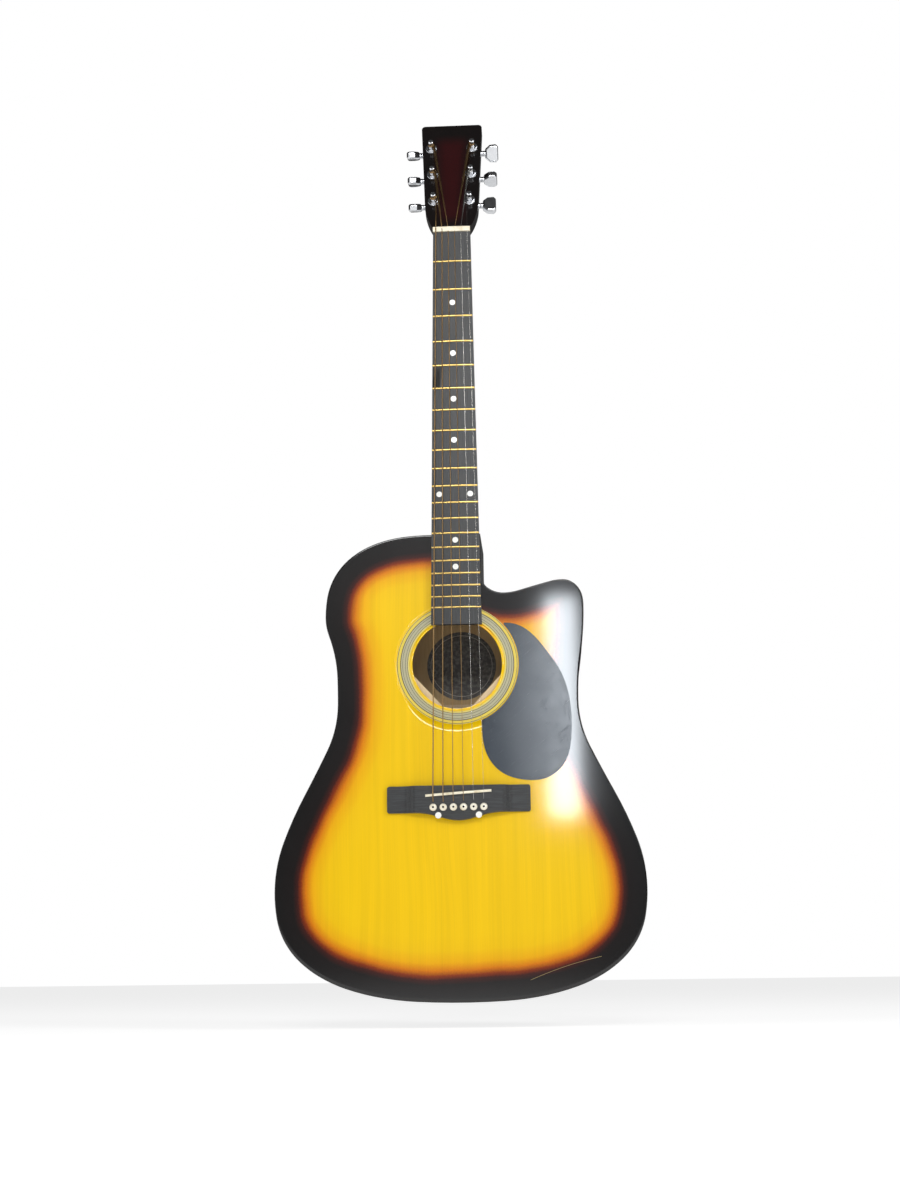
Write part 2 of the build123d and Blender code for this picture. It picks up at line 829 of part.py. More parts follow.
with BuildPart() as saddle:
    saddle_top = string_level(scale_length, 0) + 0.4
    with BuildSketch(level(bridge_height - slot_depth)):
        with Locations(saddle_place):
            Rectangle(saddle_length, saddle_thickness)
    extrude(amount=saddle_top - bridge_height + slot_depth)
    extrude(arch_face(saddle_top), amount=-bridge_station - bridge_width, mode=Mode.INTERSECT)
    fillet(saddle.faces().sort_by(Axis.Y)[0].edges(), radius=0.9)
    add(slots, mode=Mode.SUBTRACT)

with BuildPart() as bridge_pins:
    with BuildSketch(level(bridge_height)):
        with Locations(*pin_points()):
            Circle(pin_head_radius)
    extrude(amount=pin_head_height)
    rims = bridge_pins.edges().filter_by(GeomType.CIRCLE).group_by(Axis.Y)
    fillet(rims[0], radius=pin_head_height * 0.6)
    with BuildSketch(level(bridge_height + 1)):
        with Locations(*pin_points()):
            Circle(pin_radius)
    extrude(amount=-pin_length - 1)
    with BuildSketch(level(bridge_height + pin_head_height)):
        with Locations(*pin_points()):
            Circle(pin_dot_radius)
    extrude(amount=-inlay_depth / 2, mode=Mode.SUBTRACT)

with BuildPart() as pin_dots:
    with BuildSketch(level(bridge_height + pin_head_height)):
        with Locations(*pin_points()):
            Circle(pin_dot_radius)
    extrude(amount=-inlay_depth / 2)

with BuildPart() as bridge_dots:
    with BuildSketch(level(bridge_height)):
        with Locations(*bolt_points):
            Circle(bolt_dot_radius)
    extrude(amount=-inlay_depth)

nut_height = 3.2
with BuildPart() as bridge_bolts:
    with BuildSketch(level(bridge_height - inlay_depth)):
        with Locations(*bolt_points):
            Circle(bolt_radius)
    extrude(amount=-(bridge_height - inlay_depth + top_thickness + plate_thickness + nut_height + 1))
    with BuildSketch(level(-top_thickness - plate_thickness)):
        with Locations(*bolt_points):
            RegularPolygon(4.2, 6)
    extrude(amount=-nut_height)


def bored(plate, height):
    """A plate with the bridge's pin holes, bolt holes and string slots, from a level down."""
    with BuildPart() as result:
        add(plate)
        extrude(bore_face(height), amount=-top_thickness - plate_thickness, mode=Mode.SUBTRACT)
        add(slots, mode=Mode.SUBTRACT)
    return result


soundboard = bored(top_plate.part, 0)
bridge_plate = bored(plate_blank.part, -top_thickness)

# ---- Pickguard ----------------------------------------------------------------------------------
guard_edge = [
    (52.5, 463.0), (75.0, 469.5), (98.0, 494.0), (115.0, 521.0), (124.0, 558.0), (124.0, 590.0),
    (115.5, 620.0), (98.0, 635.0), (72.0, 637.5), (46.0, 628.0), (31.0, 608.0), (26.6, 583.0),
    (26.6, 566.0),
]
with BuildPart() as pickguard:
    with BuildSketch(level(0)):
        with BuildLine():
            Spline([(x, -station) for x, station in guard_edge])
            Line((guard_edge[-1][0], -guard_edge[-1][1]), (guard_edge[0][0], -guard_edge[0][1]))
        make_face()
        with Locations((0, hole_z)):
            Circle(rosette_outer + guard_gap, mode=Mode.SUBTRACT)
    extrude(amount=guard_thickness)

# ---- Tuning machines ----------------------------------------------------------------------------
# Each machine has its own frame: the post's axis is Z, its origin lies on the headstock face and X
# points out to the button. hand is +1 on the treble side and -1 on the bass side, where Y points down
# the neck, so that the worm always lies on the side of the post that is nearer the headstock's top.
gear_level = -head_thickness - worm_drop
cavity_end = gear_level - worm_pitch_radius - 1.6
cavity_gap = 0.5
gear_outer = gear_pitch_radius + gear_module
gear_root = gear_pitch_radius - 1.25 * gear_module
worm_outer = worm_pitch_radius + gear_module
worm_root = worm_pitch_radius - 1.2 * gear_module
thread_width = thread_pitch / 2 - backlash
worm_half = 5.0                 # half length of the threaded part
journal_radius = 1.6
shaft_radius = 1.9
hole_waist_radius = 0.9
bushing_rise = 3.0
washer_radius = 6.75
washer_thickness = 0.8
nut_flats = 10.0
housing_in = -housing_width / 2
housing_out = housing_width / 2
screw_radius = 1.2
screw_head_radius = 2.1
screw_length = 9.0
tab_length = 6.5
tab_thickness = 2.2
tab_lap = 3.0                   # how far the tab runs under the housing
screw_inset = 3.5               # fixing screw from the tab's end
housing_lip = 2.6               # metal beyond the worm


def tuner_plane(number):
    """Frame of a tuning machine."""
    x, y, _ = [point for point in post_points() if point[2] == number][0]
    outward = (1, 0, 0) if x > 0 else (-1, 0, 0)
    return Plane(origin=head_point(x, y, 0), x_dir=outward, z_dir=head_plane.z_dir)


def hand_of(number):
    """Which side of the headstock a machine sits on."""
    return 1 if number <= 3 else -1


def edge_reach(number):
    """Distance from a post out to the headstock's edge."""
    x, y, _ = [point for point in post_points() if point[2] == number][0]
    share = (y - head_low) / (head_length - head_low)
    return head_low_half + (head_top_half - head_low_half) * share - abs(x)


def worm_plane(hand):
    """Frame of a worm in its machine: Z outward along its axis, X towards the gear."""
    return Plane(origin=(0, hand * centre_distance, gear_level), x_dir=(0, -hand, 0), z_dir=(1, 0, 0))


def screw_spot(hand):
    """Centre of the fixing screw in the machine's frame."""
    far = centre_distance + worm_outer + housing_lip
    return (0, hand * (far - housing_length - tab_length + screw_inset))


def build_housing(hand, reach):
    """Cast housing, open towards the headstock, with a snout for the worm shaft and a screw tab."""
    far = centre_distance + worm_outer + housing_lip
    with BuildPart() as housing:
        with BuildSketch(Plane.XY.offset(-head_thickness)):
            with Locations((0, hand * (far - housing_length / 2))):
                RectangleRounded(housing_width, housing_length, radius=3)
        extrude(amount=-housing_thickness)
        fillet(housing.faces().sort_by(Axis.Z)[0].edges(), radius=2)
        with BuildSketch(Plane.XY.offset(-head_thickness)):
            with Locations((0, hand * (far - housing_length - tab_length / 2 + tab_lap))):
                RectangleRounded(1.2 * tab_length, tab_length + 2 * tab_lap, radius=tab_lap)
        extrude(amount=-tab_thickness)
        with BuildSketch(worm_plane(hand)):
            Circle(snout_radius)
        extrude(amount=reach + 1.5)
        with BuildSketch(Plane.XY.offset(-head_thickness)):
            Circle(gear_outer + cavity_gap)
        extrude(amount=cavity_end + head_thickness, mode=Mode.SUBTRACT)
        with BuildSketch(worm_plane(hand).offset(-worm_half - cavity_gap)):
            Circle(worm_outer + cavity_gap)
        extrude(amount=2 * (worm_half + cavity_gap), mode=Mode.SUBTRACT)
        with BuildSketch(Plane.XY.offset(-head_thickness)):
            with Locations((0, hand * centre_distance)):
                Rectangle(2 * (worm_half + cavity_gap), 2 * (worm_outer + cavity_gap))
        extrude(amount=-worm_drop, mode=Mode.SUBTRACT)
        with BuildSketch(worm_plane(hand)):
            Circle(shaft_radius + running_gap)
        extrude(amount=reach + 2, mode=Mode.SUBTRACT)
        with BuildSketch(worm_plane(hand)):
            Circle(worm_root + running_gap)
        extrude(amount=housing_in + 1, mode=Mode.SUBTRACT)
        with BuildSketch(Plane.XY.offset(gear_level)):
            Circle(journal_radius + running_gap)
        extrude(amount=cavity_end - gear_level - 1.6, mode=Mode.SUBTRACT)
        with BuildSketch(Plane.XY.offset(-head_thickness)):
            with Locations(screw_spot(hand)):
                Circle(screw_radius)
        extrude(amount=-tab_thickness, mode=Mode.SUBTRACT)
    return housing.part


def build_screw(hand):
    """Fixing screw through the housing's tab into the back of the headstock."""
    with BuildPart() as screw:
        with BuildSketch(Plane.XY.offset(-head_thickness - tab_thickness)):
            with Locations(screw_spot(hand)):
                Circle(screw_head_radius)
        extrude(amount=-1.6)
        fillet(screw.edges().sort_by(Axis.Z)[0], radius=0.7)
        with BuildSketch(Plane.XY.offset(-head_thickness - tab_thickness - 1.6)):
            with Locations(screw_spot(hand)):
                Rectangle(2.4, 0.6)
                Rectangle(0.6, 2.4)
        extrude(amount=1.0, mode=Mode.SUBTRACT)
        with BuildSketch(Plane.XY.offset(-head_thickness - tab_thickness)):
            with Locations(screw_spot(hand)):
                Circle(screw_radius)
        extrude(amount=screw_length - 2)
    return screw.part


def build_bushing():
    """Round washer and hexagonal bushing on the face, with a sleeve through the headstock."""
    with BuildPart() as bushing:
        with BuildSketch():
            Circle(washer_radius)
        extrude(amount=washer_thickness)
        fillet(bushing.edges().filter_by(GeomType.CIRCLE).sort_by(Axis.Z)[-1], radius=0.4)
        with BuildSketch(Plane.XY.offset(washer_thickness)):
            RegularPolygon(nut_flats / 2, 6, major_radius=False)
        extrude(amount=bushing_rise - washer_thickness)
        chamfer(bushing.faces().sort_by(Axis.Z)[-1].edges(), length=0.4)
        with BuildSketch():
            Circle(bushing_radius)
        extrude(amount=-head_thickness)
        with BuildSketch(Plane.XY.offset(bushing_rise)):
            Circle(post_radius + running_gap)
        extrude(amount=-bushing_rise - head_thickness, mode=Mode.SUBTRACT)
    return bushing.part


def build_post():
    """String post: waisted over the bushing, drilled across for the wire, with a journal for its gear."""
    with BuildPart() as post:
        with BuildSketch(Plane.XZ):
            with BuildLine():
                Polyline(
                    (0, cavity_end - 1.4), (journal_radius, cavity_end - 1.4),
                    (journal_radius, gear_level + gear_face / 2), (post_radius, gear_level + gear_face / 2),
                    (post_radius, bushing_rise + 0.8), (post_waist, bushing_rise + 1.6),
                    (post_waist, post_rise - 3.4), (post_radius, post_rise - 2.4),
                    (post_radius, post_rise - 0.7), (post_radius - 0.8, post_rise),
                    (0, post_rise), close=True,
                )
            make_face()
        revolve(axis=Axis.Z)
        with BuildSketch(Plane.XZ.offset(-post_radius - 1)):
            with Locations((0, post_rise - 4.4)):
                Circle(hole_waist_radius)
        extrude(amount=2 * post_radius + 2, mode=Mode.SUBTRACT)
    return post.part


def build_gear():
    """Worm gear with straight tapered teeth, a gap facing the worm, bored for the post's journal."""
    step = 360 / gear_teeth
    root_half = thread_width * 0.72
    tip_half = thread_width * 0.30
    with BuildPart() as gear:
        with BuildSketch(Plane.XY.offset(gear_level - gear_face / 2)):
            Circle(gear_root)
            with PolarLocations(0, gear_teeth, start_angle=90 + step / 2):
                Polygon(
                    (gear_root * 0.9, -root_half), (gear_outer, -tip_half),
                    (gear_outer, tip_half), (gear_root * 0.9, root_half), align=None,
                )
            Circle(journal_radius, mode=Mode.SUBTRACT)
        extrude(amount=gear_face)
    return gear.part


def build_worm(reach):
    """Worm with one helical thread, its inner journal, and its shaft out to the button's end."""
    turns = int(2 * (worm_half - 0.5) / thread_pitch / 2) * 2
    start = -turns / 2 * thread_pitch
    lead = atan2(thread_pitch, 2 * pi * worm_root)
    with BuildPart() as thread:
        with BuildLine():
            Helix(pitch=thread_pitch, height=turns * thread_pitch, radius=worm_root, center=(0, 0, start))
        climb = (0, cos(lead), sin(lead))
        profile_plane = Plane(origin=(worm_root, 0, start), x_dir=(1, 0, 0), z_dir=climb)
        with BuildSketch(profile_plane):
            Polygon(
                (-0.25, -thread_width * 0.8), (worm_outer - worm_root, -thread_width * 0.25),
                (worm_outer - worm_root, thread_width * 0.25), (-0.25, thread_width * 0.8), align=None,
            )
        sweep(is_frenet=True)
    with BuildPart() as worm:
        with BuildSketch(Plane.XY.offset(housing_in + 1.2)):
            Circle(worm_root)
        extrude(amount=worm_half - housing_in - 1.2)
        with BuildSketch(Plane.XY.offset(worm_half)):
            Circle(shaft_radius)
        extrude(amount=reach + button_reach - 2 - worm_half)
        add(thread.part)
    return worm.part


def build_button(reach, angle):
    """Button: a tapered paddle with soft edges on a round collar, pressed on the worm shaft."""
    inner = reach + button_reach - button_length
    outer = reach + button_reach
    half = button_width / 2
    with BuildPart() as button:
        with BuildSketch(Plane.XZ.offset(-button_thickness / 2)):
            with BuildLine():
                Polyline(
                    (-half * 0.50, inner), (half * 0.50, inner),
                    (half * 0.94, inner + button_length * 0.35), (half, outer - button_length * 0.18),
                    (half * 0.72, outer), (-half * 0.72, outer),
                    (-half, outer - button_length * 0.18), (-half * 0.94, inner + button_length * 0.35),
                    close=True,
                )
            make_face()
        extrude(amount=button_thickness)
        fillet(button.edges().filter_by(Axis.Y), radius=1.8)
        fillet(button.faces().filter_by(Axis.Y).edges(), radius=2.6)
        with BuildSketch(Plane.XY.offset(reach + 1.6)):
            Circle(3.4)
        extrude(amount=inner - reach)
        fillet(button.faces().sort_by(Axis.Z)[0].edges(), radius=1.2)
        with BuildSketch(Plane.XY.offset(reach + 1)):
            Circle(shaft_radius)
        extrude(amount=button_reach - 3, mode=Mode.SUBTRACT)
    return button.part.rotate(Axis.Z, angle)


def placed(part, location):
    """A finished piece moved from its own frame to its place."""
    with BuildPart() as result:
        with Locations(location):
            add(part)
    return result.part


def machine_location(number):
    """Place of a machine's own frame."""
    return tuner_plane(number).location


def build_string(number):
    """A whole wire: ball end under the bridge, the run over saddle and nut, and its turns on the post."""
    diameter = string_diameters[6 - number]
    start = string_route(number)[0]
    ball_front = pin_station - pin_radius - ball_radius - running_gap
    with BuildPart() as turns:
        with BuildSketch(Plane.XY.offset(string_rest - 1.2 * diameter)):
            Circle(post_waist + running_gap + diameter)
            Circle(post_waist + running_gap, mode=Mode.SUBTRACT)
        extrude(amount=2.4 * diameter)
    with BuildPart() as string:
        add(wire(number))
        with BuildSketch(Plane.YZ.offset(start.X - ball_radius)):
            with Locations((start.Y, -ball_front)):
                Circle(ball_radius)
        extrude(amount=2 * ball_radius)
        add(placed(turns.part, machine_location(number)))
    return string.part


posts_and_shafts = {}
housings, screws, bushings = [], [], []
bushing_master, post_master, gear_master = build_bushing(), build_post(), build_gear()
for number in range(1, 7):
    hand, reach, spot = hand_of(number), edge_reach(number), machine_location(number)
    worm_spot = spot * worm_plane(hand).location
    housings.append(placed(build_housing(hand, reach), spot))
    screws.append(placed(build_screw(hand), spot))
    bushings.append(placed(bushing_master, spot))
    posts_and_shafts[f"post_{number}"] = placed(post_master, spot)
    posts_and_shafts[f"gear_{number}"] = placed(gear_master, spot)
    posts_and_shafts[f"worm_shaft_{number}"] = placed(build_worm(reach), worm_spot)
    posts_and_shafts[f"button_{number}"] = placed(build_button(reach, button_angles[number]), worm_spot)
    posts_and_shafts[f"string_{number}"] = build_string(number)

with BuildPart() as tuner_housings:
    add(housings)
with BuildPart() as tuner_bushings:
    add(bushings)
with BuildPart() as tuner_screws:
    add(screws)
with BuildPart() as screw_pilots:
    for number in range(1, 7):
        with BuildSketch(tuner_plane(number).offset(-head_thickness)):
            with Locations(screw_spot(hand_of(number))):
                Circle(screw_radius)
        extrude(amount=screw_length)
with BuildPart() as drilled_neck:
    add(neck.part)
    add(screw_pilots.part, mode=Mode.SUBTRACT)

with BuildPart() as tail_block:
    add(tail_block_solid)

# ---- Files --------------------------------------------------------------------------------------
pieces = {
    "soundboard": soundboard.part,
    "rosette": rosette.part,
    "back_plate": back_plate.part,
    "bass_side": build_side(-1),
    "treble_side": build_side(1),
    "neck_block": neck_block.part,
    "tail_block": tail_block.part,
    "linings": linings.part,
    "top_braces": top_braces.part,
    "bridge_plate": bridge_plate.part,
    "back_braces": back_braces.part,
    "label": label.part,
    "neck": drilled_neck.part,
    "fingerboard": fingerboard.part,
    "frets": frets.part,
    "position_dots": position_dots.part,
    "nut": nut.part,
    "truss_rod": truss_rod.part,
    "truss_nut": truss_nut.part,
    "bridge": bridge.part,
    "saddle": saddle.part,
    "bridge_pins": bridge_pins.part,
    "pin_dots": pin_dots.part,
    "bridge_dots": bridge_dots.part,
    "bridge_bolts": bridge_bolts.part,
    "pickguard": pickguard.part,
    "tuner_housings": tuner_housings.part,
    "tuner_screws": tuner_screws.part,
    "tuner_bushings": tuner_bushings.part,
}
pieces.update(posts_and_shafts)
for name, piece in pieces.items():
    piece.label = name
    export_step(piece, f"parts/{name}.step")
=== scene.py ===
"""Looks of an acoustic guitar: sunburst top, chrome tuning machines and bronze strings."""
import json
from math import pi, radians, sin, cos

import bpy
import numpy as np
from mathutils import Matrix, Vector

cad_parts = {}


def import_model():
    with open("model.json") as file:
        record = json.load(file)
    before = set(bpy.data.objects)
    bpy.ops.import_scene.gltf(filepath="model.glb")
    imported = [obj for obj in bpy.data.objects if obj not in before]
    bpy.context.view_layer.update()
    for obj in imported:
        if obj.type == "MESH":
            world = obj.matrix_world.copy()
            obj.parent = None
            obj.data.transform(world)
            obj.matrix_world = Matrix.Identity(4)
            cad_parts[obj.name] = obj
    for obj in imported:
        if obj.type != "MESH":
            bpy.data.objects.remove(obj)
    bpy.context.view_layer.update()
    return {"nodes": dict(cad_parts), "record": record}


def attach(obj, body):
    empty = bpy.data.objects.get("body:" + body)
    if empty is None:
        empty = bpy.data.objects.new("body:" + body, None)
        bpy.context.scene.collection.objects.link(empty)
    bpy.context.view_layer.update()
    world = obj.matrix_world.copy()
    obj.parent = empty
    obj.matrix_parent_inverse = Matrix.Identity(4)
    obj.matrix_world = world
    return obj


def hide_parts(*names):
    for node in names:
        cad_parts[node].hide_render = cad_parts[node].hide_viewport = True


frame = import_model()

# Lengths are in metres here, and in millimetres where a comment or a docstring says so.
MM = 0.001
HOLE = np.array([0.0, -0.5084])          # soundhole centre, x and z
HOLE_RADIUS = 0.0495
TOP_THICKNESS = 0.0028
EDGE_ROUND = 0.0012                      # softened outer edge of the soundboard
ROSETTE_INNER, ROSETTE_OUTER = 0.0529, 0.0670
ROSETTE_DEPTH = 0.0005
LABEL_STATION = 493.0                    # label's centre below the nut, in millimetres
BODY_LEVEL = 50.0                        # half way between soundboard and back, in millimetres
HEAD_TILT = radians(14)
HEAD_FOOT = np.array([0.0, -0.005, 0.006])      # where the headstock's face starts, at the nut
HEAD_UP = np.array([0.0, sin(HEAD_TILT), cos(HEAD_TILT)])
HEAD_OUT = np.array([0.0, -cos(HEAD_TILT), sin(HEAD_TILT)])


# ---- Shader building ----------------------------------------------------------------------------
class Value:
    """A shader output that joins in Python expressions: each operator adds one Math node."""

    def __init__(self, look, socket):
        self.look, self.socket = look, socket

    def math(self, operation, first, second=0.0, third=0.0):
        inputs = {0: first, 1: second, 2: third}
        return self.look.node("ShaderNodeMath", {"operation": operation}, inputs)

    def __add__(self, other):
        return self.math("ADD", self, other)

    def __radd__(self, other):
        return self.math("ADD", other, self)

    def __sub__(self, other):
        return self.math("SUBTRACT", self, other)

    def __rsub__(self, other):
        return self.math("SUBTRACT", other, self)

    def __mul__(self, other):
        return self.math("MULTIPLY", self, other)

    def __rmul__(self, other):
        return self.math("MULTIPLY", other, self)

    def __truediv__(self, other):
        return self.math("DIVIDE", self, other)

    def __pow__(self, other):
        return self.math("POWER", self, other)

    def __abs__(self):
        return self.math("ABSOLUTE", self)

    def __gt__(self, other):
        return self.math("GREATER_THAN", self, other)

    def __lt__(self, other):
        return self.math("LESS_THAN", self, other)

    def root(self):
        return self.math("SQRT", self)

    def sine(self):
        return self.math("SINE", self)

    def smallest(self, other):
        return self.math("MINIMUM", self, other)

    def rise(self, low, high):
        """0 below low, 1 above high, smooth between."""
        settings = {"interpolation_type": "SMOOTHSTEP"}
        inputs = {0: self, 1: low, 2: high, 3: 0.0, 4: 1.0}
        return self.look.node("ShaderNodeMapRange", settings, inputs)

    def ridge(self, half_width):
        """1 where the value is 0, falling evenly to 0 at half_width on either side."""
        return 1.0 - (abs(self) / half_width).smallest(1.0)


class Look:
    """A material under construction, with its Principled shader."""

    def __init__(self, name, **fixed):
        self.material = bpy.data.materials.new(name)
        self.material.use_nodes = True
        self.tree = self.material.node_tree
        self.shader = self.tree.nodes["Principled BSDF"]
        for socket, value in fixed.items():
            self.set(socket, value)

    def set(self, socket, value):
        """Gives one of the shader's sockets, underscores for spaces, a number, colour or link."""
        self.feed(self.shader.inputs[socket.replace("_", " ")], value)

    def feed(self, socket, value):
        if isinstance(value, Value):
            self.tree.links.new(value.socket, socket)
        elif isinstance(value, (tuple, list)) and socket.type == "RGBA":
            socket.default_value = (*value[:3], 1.0)
        else:
            socket.default_value = value

    def node(self, kind, settings=None, inputs=None, out=0):
        """Any node: its type, its settings (a ramp's as stops) and what its sockets get."""
        made = self.tree.nodes.new(kind)
        for key, value in (settings or {}).items():
            if key == "stops":
                ramp = made.color_ramp
                while len(ramp.elements) < len(value):
                    ramp.elements.new(0.5)
                for element, (position, colour) in zip(ramp.elements, value):
                    element.position, element.color = position, (*colour, 1.0)
            else:
                setattr(made, key, value)
        for slot, value in (inputs or {}).items():
            self.feed(made.inputs[slot], value)
        return Value(self, made.outputs[out])

    def place(self):
        """Object coordinates, in metres."""
        return self.node("ShaderNodeTexCoord", out="Object")

    def axes(self):
        """Object x, y and z in millimetres."""
        split = self.node("ShaderNodeSeparateXYZ", None, {0: self.place()}).socket.node
        return [Value(self, output) * 1000.0 for output in split.outputs]

    def vector(self, x, y, z):
        return self.node("ShaderNodeCombineXYZ", None, {0: x, 1: y, 2: z})

    def stretched(self, *scale):
        """Object coordinates in millimetres, scaled along each axis, or alike with one number."""
        factors = [1000.0 * s for s in (scale * 3 if len(scale) == 1 else scale)]
        settings = {"operation": "MULTIPLY"}
        return self.node("ShaderNodeVectorMath", settings, {0: self.place(), 1: tuple(factors)})

    def noise(self, at, scale=1.0, detail=3.0, roughness=0.5, distortion=0.0):
        inputs = {"Vector": at, "Scale": scale, "Detail": detail, "Roughness": roughness}
        return self.node("ShaderNodeTexNoise", None, {**inputs, "Distortion": distortion})

    def mix(self, factor, first, second, blend="MIX"):
        settings = {"data_type": "RGBA", "blend_type": blend}
        return self.node("ShaderNodeMix", settings, {0: factor, 6: first, 7: second}, out=2)

    def mix_value(self, factor, first, second):
        return self.node("ShaderNodeMix", {"data_type": "FLOAT"}, {0: factor, 2: first, 3: second})

    def ramp(self, factor, *stops):
        return self.node("ShaderNodeValToRGB", {"stops": stops}, {0: factor})

    def bump(self, height, strength, distance, normal=None):
        inputs = {"Height": height, "Strength": strength, "Distance": distance}
        if normal is not None:
            inputs["Normal"] = normal
        return self.node("ShaderNodeBump", None, inputs)


def tinted(*rgb):
    """A colour given as it looks on a screen, 0 to 255, as scene-linear numbers."""
    shares = np.array(rgb) / 255
    linear = np.where(shares > 0.04045, ((shares + 0.055) / 1.055) ** 2.4, shares / 12.92)
    return tuple(float(share) for share in linear)


# ---- Finishes -----------------------------------------------------------------------------------
def chips(look, edge, reach, level):
    """Where the lacquer has come off along the outer edge, to the bare pale wood."""
    patches = look.noise(look.stretched(0.22), detail=4, roughness=0.7)
    return (patches > level) * (edge < reach + patches * reach)


def distance_from(x, z, station):
    """Distance in the soundboard's plane from the middle line, at a station below the nut."""
    down = z + station
    return (x * x + down * down).root()


def soft_dirt(look, scale, low, high):
    """Uneven polish: from low to high roughness in broad patches."""
    broad = look.noise(look.stretched(scale), detail=5, roughness=0.6)
    return broad * (high - low) + low


def top_lacquer():
    """Spruce-like top: amber, through orange and dark red, to black along the edge."""
    look = Look("top_lacquer", Coat_Roughness=0.07, Coat_IOR=1.5, Specular_IOR_Level=0.15)
    x, _, z = look.axes()
    edge = look.node("ShaderNodeAttribute", {"attribute_name": "edge"}, out="Fac") * 1000.0
    cloud = look.noise(look.stretched(0.012), detail=2) - 0.5
    spray = look.noise(look.stretched(0.5), detail=2) - 0.5
    depth = (edge + cloud * 10.0 + spray * 2.5) / 70.0
    burst = look.ramp(
        depth, (0.0, tinted(9, 8, 8)), (0.27, tinted(16, 9, 9)), (0.35, tinted(56, 16, 10)),
        (0.41, tinted(128, 46, 2)), (0.49, tinted(206, 116, 0)), (0.60, tinted(228, 166, 0)),
        (0.78, tinted(234, 188, 0)), (1.0, tinted(236, 192, 0)),
    )
    wander = look.noise(look.stretched(0.006, 0.006, 0.0015), detail=2) * 60.0
    lines = look.noise(look.vector((x + wander) * 0.9, 0.0, z * 0.006), detail=2, roughness=0.6)
    broad = look.noise(look.vector((x + wander) * 0.10, 0.0, z * 0.003), detail=3)
    seam = (x + 20.0).ridge(0.35) * (z < -700.0)
    shade = 1.0 - (lines - 0.5) * 0.16 - (broad - 0.5) * 0.22 - seam * 0.10
    grained = look.mix(1.0, burst, look.vector(shade, shade, shade), "MULTIPLY")
    bare = chips(look, edge, 1.1, 0.70)
    colour = look.mix(bare, grained, tinted(216, 198, 168))
    bow = z + 842.0 - (x - 96.0) * 0.36 + ((x - 96.0) * 0.09) ** 2.0 * 0.18
    scratch = bow.ridge(0.30) * (x > 74.0) * (x < 150.0)
    look.set("Base Color", look.mix(scratch * 0.45, colour, tinted(250, 222, 150)))
    look.set("Coat Weight", 1.0 - bare)
    look.set("Roughness", soft_dirt(look, 0.02, 0.26, 0.42))
    ripple = look.noise(look.stretched(0.010, 0.010, 0.006), detail=2)
    look.set("Normal", look.bump(ripple + lines * 0.012 - scratch * 0.03, 0.35, 0.0025))
    return look.material


def rosette_inlay():
    """Rings round the soundhole: pale, grey-beige between dark lines, and yellow outside."""
    look = Look("rosette_inlay", Coat_Weight=1.0, Coat_Roughness=0.05, Roughness=0.35)
    x, _, z = look.axes()
    radius = distance_from(x, z, -float(HOLE[1]) / MM)
    fine = look.noise(look.stretched(1.6), detail=2)
    band = look.mix(fine, tinted(146, 142, 112), tinted(192, 186, 148))
    pale = tinted(214, 196, 98)
    line = tinted(46, 42, 30)
    yellow = tinted(218, 192, 58)
    colour = look.mix(radius > 54.6, pale, line)
    colour = look.mix(radius > 55.1, colour, band)
    for low, high, tint in ((57.1, 57.5, line), (60.2, 60.6, line), (62.2, 63.0, line),
                            (63.0, 65.9, yellow), (65.9, 66.4, line), (66.4, 70.0, pale)):
        colour = look.mix((radius > low) * (radius < high), colour, tint)
    look.set("Base Color", colour)
    return look.material


def dark_lacquer(name, inside):
    """Near-black gloss lacquer on sides, back and neck; the headstock's face shows deep red.
    With inside, faces that look towards the middle of the body are bare wood."""
    look = Look(name, Coat_Weight=1.0, Coat_Roughness=0.04, Coat_IOR=1.5, Specular_IOR_Level=0.2)
    x, _, z = look.axes()
    faint = look.noise(look.stretched(0.25, 0.25, 0.006), detail=3)
    body = look.mix(faint, tinted(10, 7, 7), tinted(16, 9, 8))
    inner = (x / (z * 0.042 + 21.0)).ridge(1.0).rise(0.02, 0.75)
    rising = z.rise(8.0, 26.0) * (1.0 - z.rise(120.0, 141.0))
    head = look.mix(inner * rising, body, tinted(44, 5, 7))
    colour = look.mix(z > 5.0, body, head)
    bare = 0.0
    if inside:
        facing = look.node("ShaderNodeTexCoord", out="Normal")
        x, y, z = look.axes()
        lower_middle, upper_middle = -690.0, -470.0
        station = look.mix_value(z > -560.0, lower_middle, upper_middle)
        toward = look.vector(0.0 - x, BODY_LEVEL - y, station - z)
        inputs = {0: toward, 1: facing}
        settings = {"operation": "DOT_PRODUCT"}
        bare = look.node("ShaderNodeVectorMath", settings, inputs, out="Value") > 0.0
        grain = look.noise(look.stretched(0.9, 0.9, 0.012), detail=3)
        wood = look.mix(grain, tinted(176, 148, 106), tinted(206, 180, 138))
        colour = look.mix(bare, colour, wood)
        look.set("Coat Weight", 1.0 - bare)
    look.set("Base Color", colour)
    look.set("Roughness", soft_dirt(look, 0.03, 0.22, 0.40) + bare * 0.3)
    ripple = look.noise(look.stretched(0.02, 0.02, 0.01), detail=2)
    look.set("Normal", look.bump(ripple, 0.25, 0.002))
    return look.material


def inner_wood():
    """Bare sanded wood of the blocks, linings and braces."""
    look = Look("inner_wood", Roughness=0.62)
    grain = look.noise(look.stretched(0.9, 0.9, 0.03), detail=3)
    look.set("Base Color", look.mix(grain, tinted(198, 172, 132), tinted(224, 202, 164)))
    look.set("Normal", look.bump(grain, 0.3, 0.0003))
    return look.material


